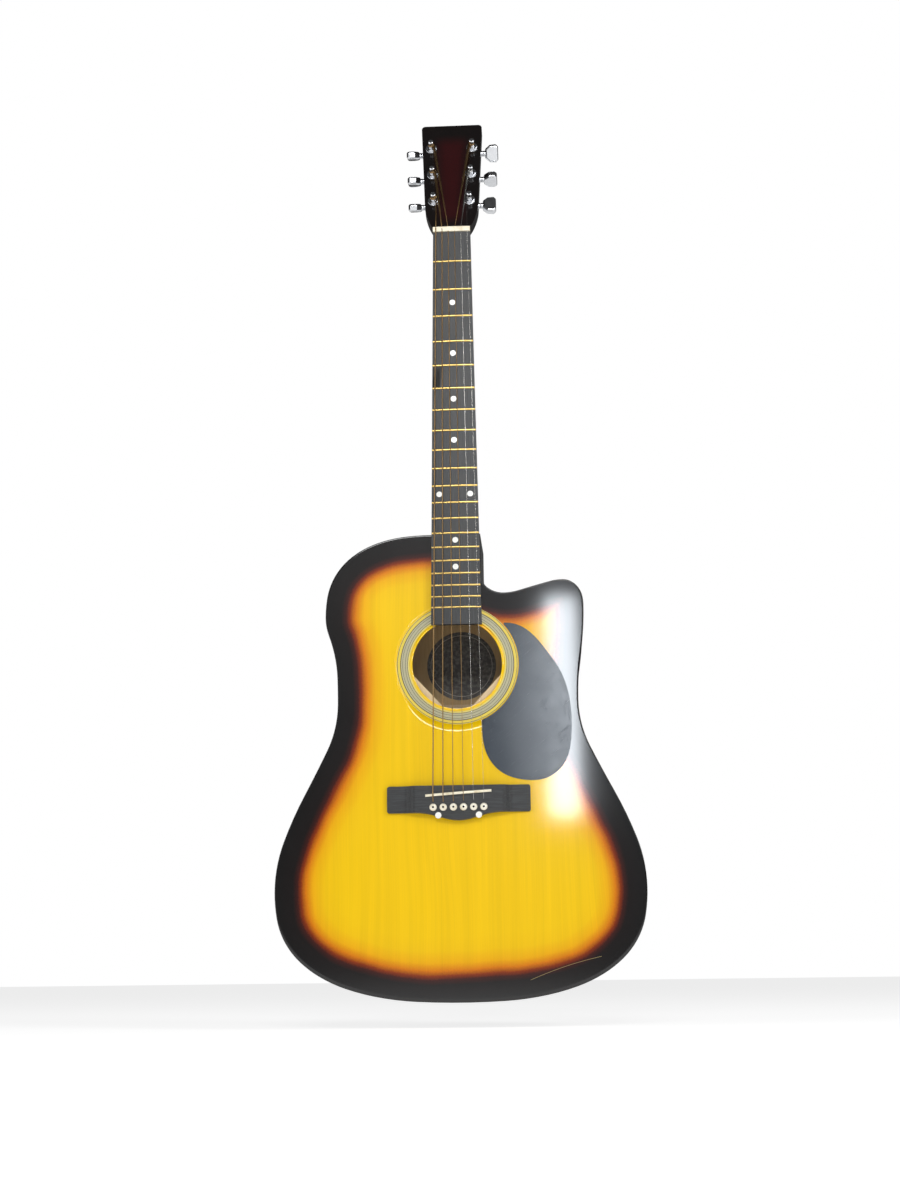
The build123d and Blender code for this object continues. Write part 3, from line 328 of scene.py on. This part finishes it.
def label_paper():
    """Dark grey printed paper with a thin pale ring and soft dust."""
    look = Look("label_paper", Roughness=0.7)
    x, _, z = look.axes()
    radius = distance_from(x, z, LABEL_STATION)
    dust = look.noise(look.stretched(0.3), detail=5)
    paper = look.mix(dust.rise(0.35, 0.75), tinted(78, 77, 76), tinted(118, 116, 112))
    ring = (radius > 35.2) * (radius < 35.9)
    look.set("Base Color", look.mix(ring * 0.7, paper, tinted(188, 184, 174)))
    return look.material


def black_board():
    """Black-dyed hardwood with fine pores along the neck; across the bridge they run with x."""
    look = Look("black_board", Coat_Weight=0.15, Coat_Roughness=0.3)
    _, _, z = look.axes()
    along = look.noise(look.stretched(1.1, 1.1, 0.03), detail=4, roughness=0.65)
    across = look.noise(look.stretched(0.04, 1.1, 0.9), detail=4, roughness=0.65)
    wood = along * (z > -600.0) + across * (z < -600.0)
    pores = wood.rise(0.38, 0.68)
    look.set("Base Color", look.mix(pores, tinted(22, 23, 24), tinted(50, 52, 54)))
    look.set("Roughness", pores * 0.15 + 0.42)
    look.set("Normal", look.bump(wood, 0.4, 0.0004))
    return look.material


def worn_metal(name, rgb, low, high):
    """Metal with a little uneven polish, its roughness between low and high."""
    look = Look(name, Metallic=1.0)
    rub = look.noise(look.stretched(0.25), detail=5, roughness=0.65)
    look.set("Base Color", look.mix(rub, tinted(*(0.86 * share for share in rgb)), tinted(*rgb)))
    look.set("Roughness", rub * (high - low) + low)
    return look.material


def pearl_dots():
    """Pearl-like inlay with a faint moving cloud."""
    look = Look("pearl_dots", Roughness=0.22, Coat_Weight=0.6, Coat_Roughness=0.06)
    cloud = look.noise(look.stretched(0.35, 0.35, 0.5), detail=3, distortion=1.2)
    look.set("Base Color", look.mix(cloud, tinted(222, 222, 214), tinted(252, 252, 248)))
    return look.material


def moulded(name, rgb, shadow, roughness):
    """Smooth moulded or polished material with grime in broad soft patches."""
    look = Look(name, Coat_Weight=0.4, Coat_Roughness=0.08)
    grime = look.noise(look.stretched(0.12), detail=5, roughness=0.6).rise(0.45, 0.8)
    look.set("Base Color", look.mix(grime, tinted(*rgb), tinted(*shadow)))
    look.set("Roughness", grime * 0.15 + roughness)
    return look.material


def black_gloss():
    """Pickguard: glossy black film with fine slanting scratches."""
    look = Look("black_gloss", Coat_Weight=0.0)
    x, _, z = look.axes()
    lean = look.vector((x * 0.78 + z * 0.62) * 0.035, 0.0, (z * 0.78 - x * 0.62) * 1.3)
    rake = look.noise(lean, detail=4, roughness=0.7)
    other = look.vector((x * 0.35 - z * 0.94) * 0.03, 0.0, (z * 0.35 + x * 0.94) * 0.9)
    cross = look.noise(other, detail=4, roughness=0.7)
    lines = rake.rise(0.60, 0.72) + cross.rise(0.64, 0.74)
    # painted reflection: the black film's colour is a bluish grey, standing for the light it
    # mirrors; the lighter lines are its scratches
    look.set("Base Color", look.mix(lines * 0.35, tinted(36, 44, 54), tinted(112, 122, 136)))
    look.set("Roughness", lines * 0.16 + soft_dirt(look, 0.03, 0.10, 0.22))
    look.set("Normal", look.bump(lines, 0.2, 0.0002))
    return look.material


def wound_string():
    """Bronze winding: fine turns along the string, with painted shade darkening the grooves between
    them.
    """
    look = Look("wound_string", Metallic=1.0)
    along = look.node("ShaderNodeAttribute", {"attribute_name": "along"}, out="Fac")
    turns = (along * (2000.0 * pi / 0.55)).sine() * 0.5 + 0.5
    patch = look.noise(look.stretched(0.2, 0.2, 0.03), detail=4)
    bronze = look.mix(patch, tinted(176, 140, 92), tinted(212, 180, 132))
    # painted shade: the grooves between the windings are coloured dark brown
    look.set("Base Color", look.mix(turns, tinted(96, 74, 48), bronze))
    look.set("Roughness", patch * 0.2 + 0.28)
    look.set("Normal", look.bump(turns, 0.5, 0.00012))
    return look.material


# The record's material slots, and bare_inside for the panels that are lacquered on one face only.
finishes = {
    "top_lacquer": top_lacquer(),
    "rosette_inlay": rosette_inlay(),
    "dark_lacquer": dark_lacquer("dark_lacquer", inside=False),
    "bare_inside": dark_lacquer("lacquer_over_bare_wood", inside=True),
    "inner_wood": inner_wood(),
    "label_paper": label_paper(),
    "black_board": black_board(),
    "pearl_dots": pearl_dots(),
    "black_gloss": black_gloss(),
    "wound_string": wound_string(),
}
MOULDED = {       # colour, grime's colour, roughness
    "bone": ((238, 230, 206), (206, 190, 150), 0.25),
    "cream_plastic": ((240, 234, 216), (212, 198, 164), 0.22),
    "black_plastic": ((20, 20, 20), (44, 42, 40), 0.18),
}
METALS = {        # colour, lowest and highest roughness
    "fret_wire": ((226, 192, 112), 0.18, 0.42),
    "rod_steel": ((176, 176, 178), 0.28, 0.5),
    "tuner_chrome": ((224, 226, 230), 0.05, 0.20),
    "button_chrome": ((228, 230, 233), 0.06, 0.24),
    "gear_brass": ((214, 180, 104), 0.25, 0.45),
    "worm_steel": ((184, 184, 188), 0.22, 0.4),
    "plain_string": ((214, 212, 208), 0.16, 0.32),
}
finishes.update({name: moulded(name, *values) for name, values in MOULDED.items()})
finishes.update({name: worn_metal(name, *values) for name, values in METALS.items()})


# ---- Building pieces from arrays ----------------------------------------------------------------
def piece(name, points, faces, slot, body="root", **attributes):
    """A smooth mesh object from points and faces, with a finish, named attributes and a body."""
    mesh = bpy.data.meshes.new(name)
    mesh.from_pydata(np.asarray(points).tolist(), [], np.asarray(faces).tolist())
    mesh.validate()
    for key, values in attributes.items():
        field = mesh.attributes.new(key, "FLOAT", "POINT")
        field.data.foreach_set("value", np.asarray(values, np.float32).ravel())
    mesh.polygons.foreach_set("use_smooth", [True] * len(mesh.polygons))
    made = bpy.data.objects.new(name, mesh)
    bpy.context.scene.collection.objects.link(made)
    mesh.materials.append(finishes[slot])
    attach(made, body)
    return made


def lattice(rows, columns, closed_rows=False):
    """Quads of a rows x columns grid of points whose last column joins the first;
    with closed_rows, the last row joins the first too."""
    row = np.arange(rows if closed_rows else rows - 1)[:, None] * columns
    column = np.arange(columns)[None, :]
    beside, below = (column + 1) % columns, (row + columns) % (rows * columns)
    corners = [row + column, row + beside, below + beside, below + column]
    return np.stack([corner.ravel() for corner in np.broadcast_arrays(*corners)], axis=1)


def vertices_of(node):
    """Vertices of a CAD node as an array of places."""
    mesh = frame["nodes"][node].data
    flat = np.empty(3 * len(mesh.vertices))
    mesh.vertices.foreach_get("co", flat)
    return flat.reshape(-1, 3)


# ---- Soundboard ---------------------------------------------------------------------------------
def board_outline(longest=0.004):
    """The body's outline in x, z, read from the soundboard's underside and ordered round
    the soundhole; long straight stretches are divided into steps of at most `longest`."""
    low = vertices_of("soundboard")
    low = np.unique(np.round(low[low[:, 1] > TOP_THICKNESS - 1e-5], 6), axis=0)[:, [0, 2]]
    beyond_rosette = np.hypot(*(low - HOLE).T) > ROSETTE_OUTER + 0.0005
    under_bridge = (abs(low[:, 0]) < 0.05) & (low[:, 1] < -0.62) & (low[:, 1] > -0.70)
    rim = low[beyond_rosette & ~under_bridge]
    turn = np.arctan2(rim[:, 0] - HOLE[0], rim[:, 1] - HOLE[1])
    rim = rim[np.argsort(turn)]
    ahead = np.roll(rim, -1, axis=0)
    counts = np.maximum(1, np.ceil(np.hypot(*(ahead - rim).T) / longest).astype(int))
    parts = [a + (b - a) * np.arange(n)[:, None] / n for a, b, n in zip(rim, ahead, counts)]
    return np.concatenate(parts)


def outward_normals(loop):
    """Normals of a closed loop of x, z points that runs clockwise seen from the front."""
    along = np.roll(loop, -1, axis=0) - np.roll(loop, 1, axis=0)
    along /= np.linalg.norm(along, axis=1)[:, None]
    normal = np.stack([-along[:, 1], along[:, 0]], axis=1)
    return normal * np.sign(np.sum(normal * (loop - HOLE)))


def distance_to(points, loop):
    """Shortest distance from each point to a closed loop of straight segments, in blocks."""
    start, end = loop, np.roll(loop, -1, axis=0)
    along = end - start
    length2 = np.sum(along * along, axis=1)
    result = []
    for block in np.array_split(points, 40):
        to = block[:, None, :] - start[None]
        share = np.clip(np.sum(to * along, axis=2) / length2, 0, 1)
        gap = to - share[..., None] * along
        result.append(np.sqrt(np.min(np.sum(gap * gap, axis=2), axis=1)))
    return np.concatenate(result)


def soundboard():
    """Grid of rings from the soundhole's rim to the outline.
    Ring i is the circle of radius r_i for the hole's rim and the rosette's groove, then
    (1 - s) * circle + s * (outline - round * normal) for s from 0 to 1, then the rounded lip
    outline - round * (1 - sin a) * normal at depth round * (1 - cos a), then side and underside."""
    loop = board_outline()
    normal = outward_normals(loop)
    turn = np.arctan2(loop[:, 0] - HOLE[0], loop[:, 1] - HOLE[1])
    spoke = np.stack([np.sin(turn), np.cos(turn)], axis=1)
    wall = 0.00002                       # lean of the groove's walls
    circles = [
        (HOLE_RADIUS, TOP_THICKNESS), (HOLE_RADIUS, 0.0004), (HOLE_RADIUS + 0.0001, 0.0001),
        (HOLE_RADIUS + 0.0004, 0.0), (ROSETTE_INNER - wall, 0.0), (ROSETTE_INNER, ROSETTE_DEPTH),
        (ROSETTE_OUTER, ROSETTE_DEPTH), (ROSETTE_OUTER + wall, 0.0),
    ]
    rings = [(HOLE + radius * spoke, depth) for radius, depth in circles]
    inset = loop - EDGE_ROUND * normal
    start = HOLE + circles[-1][0] * spoke
    for share in 1 - (1 - np.linspace(0, 1, 42)[1:]) ** 1.25:      # closer rings towards the edge
        rings.append(((1 - share) * start + share * inset, 0.0))
    for angle in np.linspace(0, pi / 2, 7)[1:]:
        lip = loop - EDGE_ROUND * (1 - sin(angle)) * normal
        rings.append((lip, EDGE_ROUND * (1 - cos(angle))))
    rings.append((loop, TOP_THICKNESS))
    flat = np.concatenate([ring for ring, _ in rings])
    depths = np.repeat([depth for _, depth in rings], len(loop))
    points = np.stack([flat[:, 0], depths, flat[:, 1]], axis=1)
    faces = lattice(len(rings), len(loop), closed_rows=True)[:, ::-1]
    edge = distance_to(flat, loop)
    made = piece("soundboard_face", points, faces, "top_lacquer", edge=edge)
    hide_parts("soundboard")


# ---- Strings ------------------------------------------------------------------------------------
# Millimetres throughout: stations are distances below the nut, heights are over the soundboard.
GAUGES = {6: 1.35, 5: 1.07, 4: 0.81, 3: 0.61, 2: 0.41, 1: 0.30}
POSTS = {                                # x and distance up the headstock of each string's post
    6: (-21.0, 39.0), 5: (-22.6, 78.0), 4: (-24.2, 117.0),
    1: (21.0, 39.0), 2: (22.6, 78.0), 3: (24.2, 117.0),
}
LOWEST_WOUND = 3                         # strings 3 to 6 are wound, 1 and 2 plain
STRING_REST = 6.2                        # height of the windings over the headstock's face
POST_WAIST = 2.55
CROSS_HOLE = 9.1                         # height of the post's cross hole over the face
GAP = 0.05
SCALE = 650.0
NUT_MIDDLE, NUT_THICKNESS = 3.0, 6.0
NUT_SPREAD, BRIDGE_SPREAD = 36.0, 55.0
PIN_STATION, PIN_RADIUS, BALL_RADIUS = 666.7, 2.5, 1.9
SADDLE_BASS, SADDLE_TREBLE, SADDLE_LENGTH = 654.0, 649.4, 72.0
NUT_HEIGHT = 7.9                         # underside of the strings at the nut
CLIMB = 1.9 / 325.0                      # their rise per millimetre towards the saddle
ARCH_RADIUS = 380.0
STRING_SIDES = 12


def string_slot(number):
    return "wound_string" if number >= LOWEST_WOUND else "plain_string"


def arch_drop(x):
    """How far the arch of fingerboard, nut and saddle falls at x."""
    return ARCH_RADIUS - (ARCH_RADIUS**2 - x * x) ** 0.5


def on_head(x, along, out):
    """Points or arrays given on the headstock's face in millimetres, as places in metres."""
    x, along, out = np.broadcast_arrays(x, along, out)
    across = np.array([1.0, 0.0, 0.0])
    offset = x[..., None] * across + along[..., None] * HEAD_UP + out[..., None] * HEAD_OUT
    return HEAD_FOOT + offset * MM


def rounded(points, radii, steps=10):
    """A path of straight legs whose inner corners become arcs tangent to both legs, of
    centre C = corner + r / sin(half the angle) along the bisector, swept between the contacts."""
    points = [np.array(p, float) for p in points]
    path = [points[0]]
    for before, corner, after, radius in zip(points, points[1:], points[2:], radii):
        back, on = before - corner, after - corner
        back, on = back / np.linalg.norm(back), on / np.linalg.norm(on)
        half = np.arccos(np.clip(back @ on, -1, 1)) / 2
        centre = corner + (back + on) / np.linalg.norm(back + on) * radius / sin(half)
        first = corner + back * radius / np.tan(half) - centre
        last = corner + on * radius / np.tan(half) - centre
        sweep = np.arccos(np.clip(first @ last / radius**2, -1, 1))
        for share in np.linspace(0, 1, steps):
            spoke = sin((1 - share) * sweep) * first + sin(share * sweep) * last
            path.append(centre + spoke / sin(sweep))
    return np.array(path + [points[-1]])


def tube(path, radii, sides):
    """Rings of radius r_i round each point of a path, in frames carried along without twist:
    P_i + r_i * (cos b * u_i + sin b * v_i); each end is closed by a ring of radius zero."""
    ahead = np.gradient(path, axis=0)
    ahead /= np.linalg.norm(ahead, axis=1)[:, None]
    side = np.cross(ahead[0], (0.31, 0.77, 0.55))
    turn = np.arange(sides) * 2 * pi / sides
    rings = []
    for place, along, radius in zip(path, ahead, radii):
        side = side - along * (side @ along)
        side = side / np.linalg.norm(side)
        up = np.cross(along, side)
        spokes = np.cos(turn)[:, None] * side + np.sin(turn)[:, None] * up
        rings.append(place + radius * spokes)
    closed = [np.repeat(path[:1], sides, axis=0), *rings, np.repeat(path[-1:], sides, axis=0)]
    gone = np.concatenate([[0], np.cumsum(np.linalg.norm(np.diff(path, axis=0), axis=1))])
    along = np.repeat(np.concatenate([gone[:1], gone, gone[-1:]]), sides)
    return np.concatenate(closed), lattice(len(closed), sides), along


def string_run(number):
    """From the ball end under the bridge, over saddle and nut, to the side of the string's post."""
    half = GAUGES[number] / 2
    share = (6 - number) / 5 - 0.5
    x_bridge, x_nut = BRIDGE_SPREAD * share, NUT_SPREAD * share
    x_mid = x_nut + (x_bridge - x_nut) * NUT_THICKNESS / SCALE
    hole = PIN_STATION - PIN_RADIUS - half - GAP
    ball = PIN_STATION - PIN_RADIUS - BALL_RADIUS - GAP
    slant = (SADDLE_TREBLE - SADDLE_BASS) / SADDLE_LENGTH
    saddle = SADDLE_BASS + slant * (x_bridge + SADDLE_LENGTH / 2)
    saddle_height = NUT_HEIGHT + CLIMB * saddle - arch_drop(x_bridge)
    nut_height = NUT_HEIGHT - arch_drop(x_nut)
    post_x, post_along = POSTS[number]
    inward = -np.sign(post_x)
    entry = on_head(post_x + inward * (POST_WAIST + half + GAP), post_along, STRING_REST) / MM
    corners = [
        (x_bridge, 9.0, -ball), (x_bridge, 5.3, -ball), (x_bridge, 4.2, -hole),
        (x_bridge, -6.3, -hole), (x_bridge, -saddle_height - half, -saddle),
        (x_mid, -nut_height - half, NUT_MIDDLE), entry,
    ]
    path = rounded(corners, [0.3, 0.3, 1.2, 4.0, 8.0]) * MM
    ball_end = path[:, 1] > 5.2 * MM
    points, faces, along = tube(path, np.where(ball_end, BALL_RADIUS, half) * MM, STRING_SIDES)
    made = piece(f"string_run_{number}", points, faces, string_slot(number), along=along)
    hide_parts(f"string_{number}")


def string_turns(number):
    """Helix round the post, R * (cos p, sin p) rising one gauge per turn, then a bend into
    the post's cross hole and a short cut end on its far side."""
    gauge = GAUGES[number]
    post_x, post_along = POSTS[number]
    side = np.sign(post_x)
    radius = POST_WAIST + gauge / 2 + GAP
    turns = np.floor(min(3.25, 2.3 / gauge) - 0.25) + 0.25
    wound = np.linspace(0, 2 * pi * turns, int(28 * turns) + 1)
    angle = (pi - wound) if side > 0 else wound
    rise = STRING_REST + (gauge + 0.02) * wound / (2 * pi)
    helix = np.stack([radius * np.cos(angle), radius * np.sin(angle), rise], axis=1)
    end = helix[-1]
    way = np.array([-end[0], -end[1], 0.0]) / radius
    onward = np.sign(angle[-1] - angle[-2])
    travel = onward * np.array([-np.sin(angle[-1]), np.cos(angle[-1]), 0.0])
    level = np.array([0.0, 0.0, CROSS_HOLE])
    bend = [
        end + travel * 0.5 + 0.25 * (level - [0, 0, end[2]]),
        level - way * (radius - 0.2) + travel * 0.35,
        level - way * 1.6,
        level + way * 1.6,
        level + way * (radius + 0.6),
        level + way * (radius + 2.2) + np.array([0, 0, 0.5]),
    ]
    course = np.concatenate([helix, bend])
    for _ in range(2):
        course[-7:-1] = 0.5 * course[-7:-1] + 0.25 * (course[-8:-2] + course[-6:])
    path = on_head(post_x + course[:, 0], post_along + course[:, 1], course[:, 2])
    points, faces, along = tube(path, np.full(len(path), gauge * MM / 2), STRING_SIDES)
    slot, body = string_slot(number), f"tuner_post_{number}"
    made = piece(f"string_turns_{number}", points, faces, slot, body=body, along=along)
    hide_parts(f"string_{number}")


soundboard()
for number in GAUGES:
    string_run(number)
    string_turns(number)


# ---- Carried-over parts -------------------------------------------------------------------------
for part in frame["record"]["subparts"]:
    coats = frame["nodes"][part["node"]].data.materials
    coats.clear()
    coats.append(finishes[part["material_slot"]])
for name in ("back_plate", "bass_side", "treble_side"):
    frame["nodes"][name].data.materials[0] = finishes["bare_inside"]


# ---- Camera, floor and light --------------------------------------------------------------------
def camera():
    data = bpy.data.cameras.new("camera")
    data.lens, data.sensor_width = 53.33, 36.0
    made = bpy.data.objects.new("camera", data)
    made.location = (0.099385, -1.932674, -0.849840)
    made.rotation_euler = [radians(a) for a in (102.07375, 0.65624, 3.29240)]
    bpy.context.scene.collection.objects.link(made)
    bpy.context.scene.camera = made


def panel(name, place, aim, width, height, power, colour=(1.0, 1.0, 1.0)):
    """A rectangular lamp at a place, facing a point."""
    data = bpy.data.lights.new(name, "AREA")
    data.shape, data.size, data.size_y = "RECTANGLE", width, height
    data.energy, data.color = power, colour
    made = bpy.data.objects.new(name, data)
    made.location = place
    facing = Vector(aim) - Vector(place)
    made.rotation_euler = facing.to_track_quat("-Z", "Y").to_euler()
    bpy.context.scene.collection.objects.link(made)


def floor():
    """A wide pale floor below the tail."""
    mesh = bpy.data.meshes.new("floor")
    reach, level = 60.0, -0.90
    corners = [(x * reach, y * reach, level) for x, y in ((-1, -1), (1, -1), (1, 1), (-1, 1))]
    mesh.from_pydata(corners, [], [(0, 1, 2, 3)])
    made = bpy.data.objects.new("floor", mesh)
    bpy.context.scene.collection.objects.link(made)
    look = Look("floor", Base_Color=(0.5, 0.5, 0.5), Roughness=0.9)
    look.set("Emission Color", (1.0, 1.0, 1.0))
    look.set("Emission Strength", 0.8)
    mesh.materials.append(look.material)


def world():
    """White where the camera sees it, softer where it only lights or is mirrored."""
    made = bpy.data.worlds.new("world")
    made.use_nodes = True
    bpy.context.scene.world = made
    tree = made.node_tree
    background = tree.nodes["Background"]
    path = tree.nodes.new("ShaderNodeLightPath")
    strength = tree.nodes.new("ShaderNodeMapRange")
    strength.inputs["To Min"].default_value = 0.07
    strength.inputs["To Max"].default_value = 1.0
    tree.links.new(path.outputs["Is Camera Ray"], strength.inputs[0])
    tree.links.new(strength.outputs[0], background.inputs["Strength"])
    background.inputs["Color"].default_value = (1, 1, 1, 1)


bpy.context.scene.view_settings.view_transform = "Standard"
camera()
floor()
world()
panel("key", (2.0, -1.7, 0.6), (0.0, 0.0, -0.45), 1.0, 1.6, 27)
panel("fill", (-2.2, -1.5, 0.0), (0.0, 0.0, -0.45), 1.4, 2.0, 15)
panel("front", (0.0, -3.0, 0.85), (0.0, 0.0, -0.5), 1.3, 0.5, 32)
panel("window", (0.140, -3.0, -0.10), (0.140, 0.0, -0.10), 0.085, 0.62, 5, (0.88, 0.94, 1.0))
